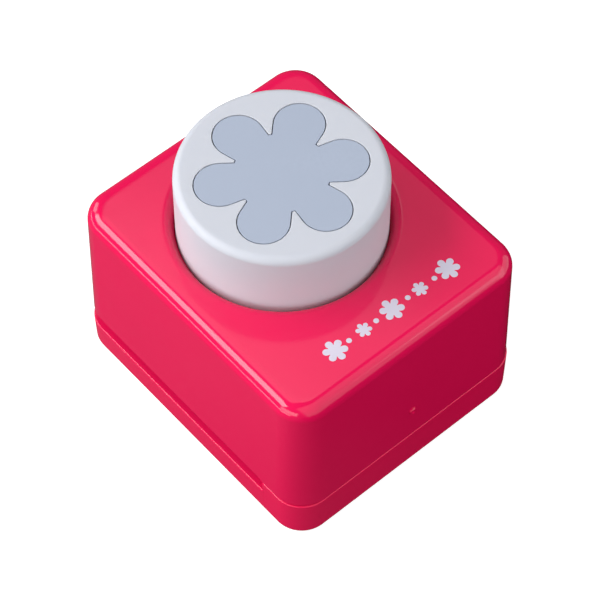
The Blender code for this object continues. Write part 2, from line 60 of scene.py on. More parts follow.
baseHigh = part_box("base_tray")[1]
capLow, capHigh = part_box("button_cap")
inlayLow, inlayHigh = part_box("flower_inlay")
dieLow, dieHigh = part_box("die_plate")
stripperLow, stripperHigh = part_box("stripper_plate")
stopLow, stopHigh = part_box("paper_stop")
punchLow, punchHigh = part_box("punch")
ramLow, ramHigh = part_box("press_ram")
buttonAxis = Vector(((capLow.x + capHigh.x) / 2, (capLow.y + capHigh.y) / 2))


def middleOf(node):
    low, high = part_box(node)
    return Vector(((low.x + high.x) / 2, (low.y + high.y) / 2))


def copiesOf(stem):
    return sorted(name for name in frame["nodes"] if name.startswith(stem + "_"))


# outlines and paths, all in metres

def turnedPoint(centre, radius, angle):
    return Vector((centre[0] + radius * math.cos(angle), centre[1] + radius * math.sin(angle)))


def circleOutline(centre, radius, steps=32):
    return [turnedPoint(centre, radius, 2 * math.pi * k / steps) for k in range(steps)]


def roundedPath(corners, steps=6, closed=False):
    # corners are (x, y, radius); each corner with a radius becomes an arc that is tangent to both sides
    count = len(corners)
    points = []
    for k, (x, y, radius) in enumerate(corners):
        corner = Vector((x, y))
        if radius <= 0 or (not closed and k in (0, count - 1)):
            points.append(corner)
            continue
        before = (Vector(corners[k - 1][:2]) - corner).normalized()
        after = (Vector(corners[(k + 1) % count][:2]) - corner).normalized()
        opening = math.acos(max(-1.0, min(1.0, before.dot(after))))
        centre = corner + (before + after).normalized() * radius / math.sin(opening / 2)
        start = corner + before * radius / math.tan(opening / 2) - centre
        side = 1 if before.x * after.y - before.y * after.x < 0 else -1
        for j in range(steps + 1):
            points.append(centre + Matrix.Rotation(side * (math.pi - opening) * j / steps, 2) @ start)
    return points


def grown(points, amount):
    moved = []
    for k, point in enumerate(points):
        before = (point - points[k - 1]).normalized()
        after = (points[(k + 1) % len(points)] - point).normalized()
        normal = Vector((before.y + after.y, -before.x - after.x)).normalized()
        moved.append(point + normal * amount / max(0.5, normal.dot(Vector((before.y, -before.x)))))
    return moved


flowerShape = {
    "petals": 6,
    "turn": math.radians(33),      # first petal's axis, from +X
    "petalCentre": 16.2 * mm,
    "petalRadius": 6.8 * mm,
    "notchRadius": 12.55 * mm,
    "notchAngle": math.radians(28),
    "notchRound": 0.22 * mm,
}


def flowerOutline(clearance=0.0, centre=buttonAxis, size=1.0, steps=30):
    # the sharp outline is moved out by the clearance first, and its notches are rounded last
    s = flowerShape
    corner = Vector((s["notchRadius"] * math.cos(s["notchAngle"]),
                     s["notchRadius"] * math.sin(s["notchAngle"])))
    toCorner = corner - Vector((s["petalCentre"], 0.0))
    tangent = math.atan2(toCorner.y, toCorner.x) - math.acos(s["petalRadius"] / toCorner.length)
    petal = [(Vector((corner.x, -corner.y)), s["notchRound"])]
    for j in range(steps + 1):
        turn = tangent * (2 * j / steps - 1)
        petal.append((turnedPoint((s["petalCentre"], 0.0), s["petalRadius"], turn), 0.0))
    petal.append((corner, s["notchRound"]))
    spins = [Matrix.Rotation(s["turn"] + 2 * math.pi * k / s["petals"], 2) for k in range(s["petals"])]
    sharp = grown([spin @ point for spin in spins for point, radius in petal], clearance / size)
    rounding = [radius for spin in spins for point, radius in petal]
    corners = [(*point, radius) for point, radius in zip(sharp, rounding)]
    points = roundedPath(corners, steps=3, closed=True)
    return [point * size + centre for point in points]


def flowerShaped(clearance):
    return lambda amount: flowerOutline(clearance + amount)


def rectangleOutline(low, high, radius, steps=8):
    corners = [(high[0], high[1], radius), (low[0], high[1], radius), (low[0], low[1], radius),
               (high[0], low[1], radius)]
    return roundedPath(corners, steps, closed=True)


def tongueOutline(low, high, shoulderY, tongueHalf, radius=1.2 * mm):
    # a plate's rectangle with the narrower tongue at its front
    neckY = shoulderY - 0.5 * mm
    corners = [(high.x, high.y, radius), (low.x, high.y, radius), (low.x, shoulderY, 0.0),
               (-tongueHalf, neckY, 0.0), (-tongueHalf, low.y, radius), (tongueHalf, low.y, radius),
               (tongueHalf, neckY, 0.0), (high.x, shoulderY, 0.0)]
    return roundedPath(corners, 6, closed=True)


# mesh building

def skin(rings, closed=False):
    # joins rings of equally many points; an open stack gets a face over each end
    bm = bmesh.new()
    loops = [[bm.verts.new(point) for point in ring] for ring in rings]
    for k in range(len(loops) if closed else len(loops) - 1):
        first, second = loops[k], loops[(k + 1) % len(loops)]
        for j in range(len(first)):
            n = (j + 1) % len(first)
            bm.faces.new((first[j], first[n], second[n], second[j]))
    if not closed:
        bm.faces.new(reversed(loops[0]))
        bm.faces.new(loops[-1])
    return outwards(bm)


def outwards(bm):
    # the closed shape as a mesh whose faces all point out of it
    if bm.calc_volume(signed=True) < 0:
        bmesh.ops.reverse_faces(bm, faces=bm.faces)
    return meshFrom(bm)


def meshFrom(bm):
    mesh = bpy.data.meshes.new("draft")
    bm.to_mesh(mesh)
    bm.free()
    return mesh


def lathe(path, centre, steps=64, closed=False):
    rings = [[(*turnedPoint(centre, point[0], 2 * math.pi * k / steps), point[1]) for k in range(steps)]
             for point in path]
    return skin(rings, closed)


def upright(radius, lowZ, highZ, centre, steps=32):
    return lathe([(radius, lowZ), (radius, highZ)], centre, steps)


def slab(outline, lowZ, highZ, lowEdge=0.0, highEdge=0.0, steps=3):
    # a flat solid with rounded edges; a cutter has a negative edge, which rounds the mouth of its hole, and
    # runs on past it
    shape = outline if callable(outline) else lambda amount: grown(outline, amount)
    rings = []
    for edge, z, way in ((lowEdge, lowZ, 1), (highEdge, highZ, -1)):
        turns = [math.pi / 2 * k / steps for k in range(steps + 1)] if edge else [math.pi / 2]
        levels = [(edge * (1 - math.sin(turn)), z + way * abs(edge) * (1 - math.cos(turn)))
                  for turn in turns]
        if edge < 0:
            levels[0] = (edge, z - way * hairline)
            levels.insert(0, (edge, z - way * cutOver))
        made = [[(*point, height) for point in shape(-inset)] for inset, height in levels]
        rings.extend(made[::way])
    return skin(rings)


def carve(mesh, cutters, operation="DIFFERENCE"):
    # cuts meshes out of the first one, or with "UNION" joins them to it
    blank = bpy.data.objects.new("blank", mesh)
    scene.collection.objects.link(blank)
    others = []
    for cutter in cutters:
        other = bpy.data.objects.new("cutter", cutter)
        scene.collection.objects.link(other)
        step = blank.modifiers.new("cut", "BOOLEAN")
        step.operation = operation
        step.solver = "EXACT"
        step.object = other
        others.append(other)
    bpy.context.view_layer.update()
    graph = bpy.context.evaluated_depsgraph_get()
    result = bpy.data.meshes.new_from_object(blank.evaluated_get(graph), depsgraph=graph)
    for item in [blank, *others]:
        bpy.data.objects.remove(item, do_unlink=True)
    return result


def drill(centre, radius, lowZ, highZ, flare=0.15 * mm, steps=32, sink=None):
    # a round cutter that breaks the edges of the hole's mouths; sink is (radius, top) of a counterbore from
    # below
    path = [(radius + flare + cutOver, highZ + cutOver), (radius, highZ - flare)]
    if sink:
        path += [(radius, sink[1]), (sink[0], sink[1]), (sink[0], lowZ + flare),
                 (sink[0] + flare + cutOver, lowZ - cutOver)]
    else:
        path += [(radius, lowZ + flare), (radius + flare + cutOver, lowZ - cutOver)]
    return lathe(path, centre, steps)


def joined(meshes):
    # several meshes that don't touch, as one
    bm = bmesh.new()
    for mesh in meshes:
        bm.from_mesh(mesh)
    return meshFrom(bm)


def piece(name, mesh, material, body, replaced=(), sharp=38, place=None):
    # sharp is the angle in degrees past which an edge stays hard
    mesh.name = name
    mesh.materials.clear()
    mesh.materials.append(material)
    mesh.shade_smooth()
    mesh.set_sharp_from_angle(angle=math.radians(sharp))
    item = bpy.data.objects.new(name, mesh)
    if place:
        item.matrix_world = place
    scene.collection.objects.link(item)
    weighted = item.modifiers.new("even shading", "WEIGHTED_NORMAL")
    weighted.keep_sharp = True
    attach(item, body)
    if replaced:
        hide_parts(*replaced)
    return item


def finePiece(node, mesh, finish, body, sharp=38, place=None):
    # the piece that takes the place of one CAD node and hides it, in the given finish
    return piece("fine_" + node, mesh, finishes[finish], body, [node], sharp, place)


# shader groups that several materials share

def newGroup(name, inputs, outputs):
    group = bpy.data.node_groups.new(name, "ShaderNodeTree")
    for label, kind, value in inputs:
        socket = group.interface.new_socket(name=label, in_out="INPUT", socket_type=kind)
        if value is not None:
            socket.default_value = value
    for label, kind in outputs:
        group.interface.new_socket(name=label, in_out="OUTPUT", socket_type=kind)
    return group, group.nodes.new("NodeGroupInput"), group.nodes.new("NodeGroupOutput")


def wire(tree, kind, settings=None, **inputs):
    # adds a node; an input goes by its number, as in i0, or by its label with underscores for spaces, and it
    # is a value or the socket that it is linked to
    node = tree.nodes.new(kind)
    for key, value in (settings or {}).items():
        setattr(node, key, value)
    for key, value in inputs.items():
        numbered = key[0] == "i" and key[1:].isdigit()
        socket = node.inputs[int(key[1:]) if numbered else key.replace("_", " ")]
        if isinstance(value, bpy.types.NodeSocket):
            tree.links.new(value, socket)
        else:
            socket.default_value = value
    return node


def maths(tree, operation, first, second=0.0, clamp=False):
    settings = {"operation": operation, "use_clamp": clamp}
    return wire(tree, "ShaderNodeMath", settings, i0=first, i1=second).outputs[0]


def spread(tree, value, low, high, fromLow=0.3, fromHigh=0.7):
    # low and high are what comes out for fromLow and fromHigh
    node = wire(tree, "ShaderNodeMapRange", None, Value=value, From_Min=fromLow, From_Max=fromHigh,
                To_Min=low, To_Max=high)
    return node.outputs[0]


def makeMouldGrain():
    # fine unevenness of a moulded skin: a height, and a slow patchy mask
    group, source, target = newGroup("mouldGrain", [("Vector", "NodeSocketVector", None),
                                                    ("Fine Scale", "NodeSocketFloat", 2500.0),
                                                    ("Patch Scale", "NodeSocketFloat", 60.0)],
                                     [("Height", "NodeSocketFloat"), ("Patches", "NodeSocketFloat")])
    fine = wire(group, "ShaderNodeTexNoise", None, Vector=source.outputs[0], Scale=source.outputs[1],
                Detail=3.0, Roughness=0.55)
    patch = wire(group, "ShaderNodeTexNoise", None, Vector=source.outputs[0], Scale=source.outputs[2],
                 Detail=4.0, Roughness=0.6, Distortion=0.4)
    group.links.new(fine.outputs[0], target.inputs[0])
    group.links.new(patch.outputs[0], target.inputs[1])
    return group


def makeHandlingMarks():
    # hair scratches in two directions and faint smudges, as one mask
    group, source, target = newGroup("handlingMarks", [("Vector", "NodeSocketVector", None),
                                                       ("Amount", "NodeSocketFloat", 1.0)],
                                     [("Mask", "NodeSocketFloat")])
    scratches = None
    for angle, stretch in ((0.5, (40.0, 2600.0, 40.0)), (2.1, (30.0, 2100.0, 60.0))):
        turned = wire(group, "ShaderNodeMapping", None, Vector=source.outputs[0],
                      Rotation=(0.35, 0.2, angle), Scale=stretch)
        lines = wire(group, "ShaderNodeTexNoise", None, Vector=turned.outputs[0], Scale=1.0, Detail=2.0)
        thin = spread(group, lines.outputs[0], 0.0, 1.0, 0.70, 0.78)
        scratches = thin if scratches is None else maths(group, "MAXIMUM", scratches, thin)
    smudge = wire(group, "ShaderNodeTexNoise", None, Vector=source.outputs[0], Scale=85.0, Detail=5.0,
                  Distortion=1.2)
    both = maths(group, "MAXIMUM", scratches, spread(group, smudge.outputs[0], 0.0, 0.5, 0.52, 0.72))
    group.links.new(maths(group, "MULTIPLY", both, source.outputs[1], True), target.inputs[0])
    return group


def makeWornEdges():
    # bright where a surface turns sharply outwards, broken up by noise
    group, source, target = newGroup("wornEdges", [("Vector", "NodeSocketVector", None),
                                                   ("Sharpness", "NodeSocketFloat", 14.0)],
                                     [("Mask", "NodeSocketFloat")])
    shape = group.nodes.new("ShaderNodeNewGeometry")
    raised = maths(group, "MULTIPLY", maths(group, "SUBTRACT", shape.outputs["Pointiness"], 0.51),
                   source.outputs[1], True)
    broken = wire(group, "ShaderNodeTexNoise", None, Vector=source.outputs[0], Scale=900.0, Detail=3.0)
    ragged = spread(group, broken.outputs[0], 0.0, 1.0, 0.35, 0.6)
    group.links.new(maths(group, "MULTIPLY", raised, ragged, True), target.inputs[0])
    return group


def makeGroundLines():
    # parallel lines left by rolling and grinding: a height and a tone
    inputs = [("Vector", "NodeSocketVector", None), ("Stretch", "NodeSocketVector", (60.0, 5200.0, 900.0))]
    group, source, target = newGroup("groundLines", inputs,
                                     [("Height", "NodeSocketFloat"), ("Tone", "NodeSocketFloat")])
    stretched = wire(group, "ShaderNodeVectorMath", {"operation": "MULTIPLY"}, i0=source.outputs[0],
                     i1=source.outputs[1])
    lines = wire(group, "ShaderNodeTexNoise", None, Vector=stretched.outputs[0], Scale=1.0, Detail=5.0,
                 Roughness=0.62)
    tone = wire(group, "ShaderNodeTexNoise", None, Vector=source.outputs[0], Scale=55.0, Detail=4.0,
                Roughness=0.6)
    group.links.new(lines.outputs[0], target.inputs[0])
    group.links.new(tone.outputs[0], target.inputs[1])
    return group


mouldGrain = makeMouldGrain()
handlingMarks = makeHandlingMarks()
wornEdges = makeWornEdges()
groundLines = makeGroundLines()


# materials

def startMaterial(name):
    material = bpy.data.materials.new(name)
    material.use_nodes = True
    tree = material.node_tree
    shader = tree.nodes["Principled BSDF"]
    place = tree.nodes.new("ShaderNodeTexCoord").outputs["Object"]
    return material, tree, shader, place


def useGroup(tree, group, **inputs):
    return wire(tree, "ShaderNodeGroup", {"node_tree": group}, **inputs)


def mixColour(tree, amount, first, second):
    return wire(tree, "ShaderNodeMix", {"data_type": "RGBA"}, i0=amount, i6=first, i7=second).outputs[2]


def addBump(tree, shader, height, strength, distance):
    bump = wire(tree, "ShaderNodeBump", None, Height=height, Strength=strength, Distance=distance)
    tree.links.new(bump.outputs[0], shader.inputs["Normal"])


def plasticMaterial(name, s):
    material, tree, shader, place = startMaterial(name)
    grain = useGroup(tree, mouldGrain, Vector=place, Fine_Scale=s["fineScale"],
                     Patch_Scale=s["patchScale"])
    marks = useGroup(tree, handlingMarks, Vector=place, Amount=s["marks"])
    edges = useGroup(tree, wornEdges, Vector=place, Sharpness=s["edgeSharpness"])
    base = mixColour(tree, spread(tree, grain.outputs[1], 0.0, 1.0), s["colour"], s["patchColour"])
    worn = maths(tree, "MULTIPLY", edges.outputs[0], s["edgeAmount"])
    tree.links.new(mixColour(tree, worn, base, s["edgeColour"]), shader.inputs["Base Color"])
    patchy = spread(tree, grain.outputs[1], s["roughness"] - s["roughnessSpread"],
                    s["roughness"] + s["roughnessSpread"])
    rough = maths(tree, "ADD", patchy, maths(tree, "MULTIPLY", marks.outputs[0], s["markRoughness"]))
    tree.links.new(rough, shader.inputs["Roughness"])
    shader.inputs["IOR"].default_value = s["ior"]
    shader.inputs["Subsurface Weight"].default_value = s["subsurface"]
    shader.inputs["Subsurface Radius"].default_value = s["subsurfaceRadius"]
    shader.inputs["Subsurface Scale"].default_value = 1.0
    height = maths(tree, "SUBTRACT", grain.outputs[0],
                   maths(tree, "MULTIPLY", marks.outputs[0], s["markDepth"]))
    addBump(tree, shader, height, s["bump"], s["bumpDepth"])
    return material


def metalMaterial(name, s):
    material, tree, shader, place = startMaterial(name)
    lines = useGroup(tree, groundLines, Vector=place, Stretch=s["stretch"])
    edges = useGroup(tree, wornEdges, Vector=place, Sharpness=s["edgeSharpness"])
    base = mixColour(tree, spread(tree, lines.outputs[1], 0.0, 1.0), s["colour"], s["stainColour"])
    worn = maths(tree, "MULTIPLY", edges.outputs[0], s["edgeAmount"])
    tree.links.new(mixColour(tree, worn, base, s["edgeColour"]), shader.inputs["Base Color"])
    shader.inputs["Metallic"].default_value = 1.0
    streaks = spread(tree, lines.outputs[0], -s["roughnessSpread"], s["roughnessSpread"])
    clouds = spread(tree, lines.outputs[1], s["roughness"] * 0.85, s["roughness"] * 1.2)
    tree.links.new(maths(tree, "ADD", streaks, clouds), shader.inputs["Roughness"])
    addBump(tree, shader, lines.outputs[0], s["bump"], s["bumpDepth"])
    return material


plasticDefaults = {
    "fineScale": 2600.0, "patchScale": 45.0, "marks": 0.6, "edgeSharpness": 10.0, "edgeAmount": 0.12,
    "roughnessSpread": 0.02, "markRoughness": 0.07, "markDepth": 0.25, "ior": 1.5, "subsurface": 0.0,
    "subsurfaceRadius": (0.001, 0.001, 0.001), "bump": 0.06, "bumpDepth": 0.05 * mm,
}
metalDefaults = {
    "edgeSharpness": 12.0, "edgeAmount": 0.5, "roughnessSpread": 0.05, "bump": 0.12,
    "bumpDepth": 0.04 * mm, "edgeColour": (0.85, 0.85, 0.86, 1.0), "stretch": (60.0, 5200.0, 900.0),
}
finishes = {
    "case_red": plasticMaterial("case red plastic", {
        **plasticDefaults, "colour": (0.78, 0.0045, 0.082, 1.0), "patchColour": (0.765, 0.004, 0.079, 1.0),
        "edgeColour": (0.86, 0.06, 0.13, 1.0), "roughness": 0.10}),
    "base_red": plasticMaterial("base red plastic", {
        **plasticDefaults, "colour": (0.84, 0.006, 0.086, 1.0), "patchColour": (0.825, 0.0055, 0.083, 1.0),
        "edgeColour": (0.84, 0.06, 0.13, 1.0), "roughness": 0.22, "bump": 0.09}),
    "button_white": plasticMaterial("button white plastic", {
        **plasticDefaults, "colour": (0.580, 0.600, 0.660, 1.0), "patchColour": (0.572, 0.592, 0.654, 1.0),
        "edgeColour": (0.72, 0.74, 0.78, 1.0), "roughness": 0.42, "ior": 1.36, "subsurface": 0.35,
        "subsurfaceRadius": (0.0026, 0.0024, 0.0022)}),
    "inlay_grey": plasticMaterial("inlay blue grey", {
        **plasticDefaults, "colour": (0.378, 0.430, 0.540, 1.0), "patchColour": (0.371, 0.423, 0.533, 1.0),
        "edgeColour": (0.46, 0.52, 0.63, 1.0), "roughness": 0.33, "marks": 0.3}),
    "ram_white": plasticMaterial("ram plain plastic", {
        **plasticDefaults, "colour": (0.66, 0.66, 0.64, 1.0), "patchColour": (0.60, 0.60, 0.58, 1.0),
        "edgeColour": (0.78, 0.78, 0.76, 1.0), "roughness": 0.42, "bump": 0.15}),
    "print_white": plasticMaterial("printed white ink", {
        **plasticDefaults, "colour": (0.66, 0.62, 0.74, 1.0), "patchColour": (0.63, 0.59, 0.71, 1.0),
        "edgeColour": (0.66, 0.62, 0.74, 1.0), "roughness": 0.38, "fineScale": 5200.0, "bump": 0.12}),
    "plate_steel": metalMaterial("ground plate steel", {
        **metalDefaults, "colour": (0.50, 0.51, 0.53, 1.0), "stainColour": (0.40, 0.41, 0.44, 1.0),
        "roughness": 0.30}),
    "punch_steel": metalMaterial("ground tool steel", {
        **metalDefaults, "colour": (0.58, 0.58, 0.59, 1.0), "stainColour": (0.48, 0.49, 0.51, 1.0),
        "roughness": 0.22, "stretch": (4200.0, 70.0, 700.0)}),
    "post_steel": metalMaterial("polished pin steel", {
        **metalDefaults, "colour": (0.66, 0.66, 0.67, 1.0), "stainColour": (0.60, 0.60, 0.61, 1.0),
        "roughness": 0.14, "stretch": (300.0, 300.0, 4200.0), "bump": 0.05}),
    "spring_steel": metalMaterial("drawn spring wire", {
        **metalDefaults, "colour": (0.48, 0.48, 0.50, 1.0), "stainColour": (0.36, 0.36, 0.38, 1.0),
        "roughness": 0.26, "stretch": (900.0, 900.0, 6000.0)}),
    "bush_brass": metalMaterial("turned brass", {
        **metalDefaults, "colour": (0.76, 0.53, 0.21, 1.0), "stainColour": (0.60, 0.39, 0.15, 1.0),
        "roughness": 0.28, "edgeColour": (0.90, 0.70, 0.35, 1.0),
        "stretch": (200.0, 200.0, 5200.0)}),
    "screw_steel": metalMaterial("zinc plated steel", {
        **metalDefaults, "colour": (0.60, 0.61, 0.62, 1.0), "stainColour": (0.50, 0.51, 0.52, 1.0),
        "roughness": 0.30, "stretch": (700.0, 700.0, 2600.0)}),
}
print("materials made:", len(finishes))


# upper case: one closed skin from the inside of the roof, round the lower edge, over the top and down the
# collar round the button

caseShape = {
    "wall": 2.5 * mm,
    "draft": math.tan(math.radians(1.03)),
    "cornerRadius": 8.7 * mm,
    "topRoll": 4.35 * mm,
    "innerRoll": 1.9 * mm,
    "lowerEdge": 0.3 * mm,
    "lipHeight": 4 * mm,           # the wall's inner face is upright up to here
    "throatRise": 0.5 * mm,        # how much higher the lower edge is over the throat
    "throatY": -31.0 * mm,
    "throatRamp": 0.8 * mm,
    "throatFade": 6 * mm,          # how far up the wall that rise dies out
    "roofFlat": 5.2 * mm,          # how far in from the sides the level part of the roof begins
    "roofShares": (0.35, 0.7),     # rings between there and the dish, as shares of the way
    "dishRadius": 29.9 * mm,
    "dishDepth": 3.2 * mm,
    "dishRoll": 2.6 * mm,
    "collarRadius": 28.09 * mm,
    "collarOuter": 33.2 * mm,
    "collarEdge": 0.18 * mm,
    "cornerSteps": 20,
    "sideSteps": 44,
    "collarFoot": 0.3 * mm,
    "columnRadius": 3.2 * mm,
    "pilotRadius": 1.7 * mm,
    "pilotTop": 25.2 * mm,
    "gateHeight": 25.2 * mm,       # the moulding gate's small broken-off stub on the front wall
    "gateRadius": 1.1 * mm,
    "gateStub": 0.5 * mm,
    "gateRoot": -0.2 * mm,
}


def boxRing(halfX, halfY, inset, radius, cornerSteps, stopsX, stopsY):
    # a rounded rectangle, anticlockwise from the front of the +X side; the stops divide its straight sides
    x, y, r = halfX - inset, halfY - inset, max(radius - inset, 0.2 * mm)
    cx, cy = x - r, y - r
    points = [Vector((x, stop * cy)) for stop in stopsY]
    for k, (sx, sy) in enumerate(((1, 1), (-1, 1), (-1, -1), (1, -1))):
        points.extend(turnedPoint((sx * cx, sy * cy), r, math.pi / 2 * (k + j / cornerSteps))
                      for j in range(cornerSteps + 1))
        along = ([Vector((-stop * cx, y)) for stop in stopsX],
                 [Vector((-x, -stop * cy)) for stop in stopsY],
                 [Vector((stop * cx, -y)) for stop in stopsX], [])[k]
        points.extend(along)
    return points


def makeUpperCase():
    s = caseShape
    topZ, lowZ = caseHigh.z, caseLow.z
    spreadLow = (topZ - lowZ) * s["draft"]
    topHalfX, topHalfY = caseHigh.x - spreadLow, caseHigh.y - spreadLow
    stops = [2 * (k + 1) / (s["sideSteps"] + 1) - 1 for k in range(s["sideSteps"])]
    roofZ = topZ - s["wall"]

    def boxLevel(point):
        inset, z = point
        ring = boxRing(topHalfX, topHalfY, inset, s["cornerRadius"], s["cornerSteps"], stops, stops)
        rim = max(0.0, 1 - (z - lowZ) / s["throatFade"])
        level = []
        for spot in ring:
            back = min(max((spot.y - s["throatY"]) / s["throatRamp"] + 0.5, 0.0), 1.0)
            level.append((*spot, z + s["throatRise"] * back * rim))
        return level

    def roundLevel(point, ring):
        radius, z = point
        turns = [math.atan2(spot[1] - buttonAxis.y, spot[0] - buttonAxis.x) for spot in ring]
        return [(*turnedPoint(buttonAxis, radius, turn), z) for turn in turns]

    flat, lip, lipEnd = s["roofFlat"], s["lipHeight"], s["lipHeight"] + mm
    outside = roundedPath([(s["wall"] - spreadLow, lowZ + lip, 0),
                           (s["wall"] - spreadLow, lowZ, s["lowerEdge"]),
                           (-spreadLow, lowZ, s["lowerEdge"]), (0.0, topZ, s["topRoll"]),
                           (flat, topZ, 0)], 14)
    inside = roundedPath([(flat + s["wall"], roofZ, 0), (s["wall"], roofZ, s["innerRoll"]),
                          (s["wall"] - spreadLow + lipEnd * s["draft"], lowZ + lipEnd, 0)], 8)
    levels = [boxLevel(point) for point in inside + outside]
    ring = levels[-1]
    under = topZ - s["dishDepth"] - s["wall"]
    dish = roundedPath([(s["dishRadius"] + 2 * mm, topZ, 0), (s["dishRadius"], topZ, s["dishRoll"]),
                        (s["collarRadius"], topZ - s["dishDepth"], s["collarEdge"]),
                        (s["collarRadius"], under, s["collarFoot"]),
                        (s["collarOuter"], under, s["collarFoot"]), (s["collarOuter"], roofZ, 0)], 9)
    first = roundLevel(dish[0], ring)
    for share in s["roofShares"]:
        levels.append([tuple(Vector(a).lerp(Vector(b), share)) for a, b in zip(ring, first)])
    levels.extend(roundLevel(point, ring) for point in dish)
    mesh = skin(levels, closed=True)
    columns, pilots = [], []
    for stem, foot in (("stripper_screw", stripperHigh.z + 0.3 * mm), ("base_screw", lowZ)):
        for name in copiesOf(stem):
            columns.append(upright(s["columnRadius"], foot, roofZ + mm, middleOf(name), 24))
            pilots.append(upright(s["pilotRadius"], lowZ - mm, s["pilotTop"], middleOf(name), 20))
    mesh = carve(carve(mesh, [joined(columns)], "UNION"), [joined(pilots)])
    wallY = -(topHalfY + (topZ - s["gateHeight"]) * s["draft"])
    r, root, stub = s["gateRadius"], s["gateRoot"], s["gateStub"]
    profile = roundedPath([(0.08 * r, root, 0), (r, root, 0), (r, 0.4 * stub, 0.1 * mm),
                           (0.7 * r, stub, 0.1 * mm), (0.4 * r, 0.55 * stub, 0.06 * mm),
                           (0.08 * r, 0.7 * stub, 0)], 4)
    forwards = Matrix.Rotation(math.pi / 2, 4, "X")
    piece("gate_mark", lathe(profile, (0.0, 0.0), 36), finishes["case_red"], "housing",
          sharp=60, place=Matrix.Translation((0.0, wallY, s["gateHeight"])) @ forwards)
    finePiece("upper_case", mesh, "case_red", "housing", 32)


makeUpperCase()
print("upper case made")


# base tray: ledge and front block are one skin, and the pocket, window and screw sinks are cut from it

baseShape = {
    "cornerRadius": 8.7 * mm,
    "undercut": 0.2 * mm,
    "floorRoll": 1.25 * mm,
    "topEdge": 0.35 * mm,
    "ledgeZ": dieHigh.z,
    "stepY": -31.0 * mm,           # the front block's rear face, which leans and has a round top and foot
    "stepLean": 0.05 * mm,
    "stepTop": 0.35 * mm,
    "stepFoot": 0.25 * mm,
    "sideEnd": 36,                 # mm, where the points along the straight sides end
    "rearStart": -28,              # mm, and those on the ledge begin
    "rearStride": 4,               # mm
    "acrossSteps": 30,
    "cornerSteps": 20,
    "pocketGap": 0.3 * mm,
    "pocketFloor": 2.4 * mm,
    "pocketShoulder": 0.4 * mm,    # in front of the step
    "pocketTongue": 26.3 * mm,
    "pocketTop": 20 * mm,          # the pocket's cutter reaches above the tray
    "windowTop": 9 * mm,
    "windowHalf": 25.0 * mm,
    "windowRadius": 1.5 * mm,
    "windowEdge": 0.4 * mm,
    "chuteWall": 1.6 * mm,
    "seatRadius": 3.8 * mm,
    "sinkRadius": 3.1 * mm,
    "sinkDepth": 2.3 * mm,
    "holeRadius": 1.7 * mm,
    "holeFlare": 0.2 * mm,
    "pinMarks": [(-26, -29), (26, -29), (-33, 12), (33, 12), (0, 39), (-14, -36), (14, -36)],   # mm
    "pinRadius": 2.0 * mm,
    "pinDepth": 0.12 * mm,
}


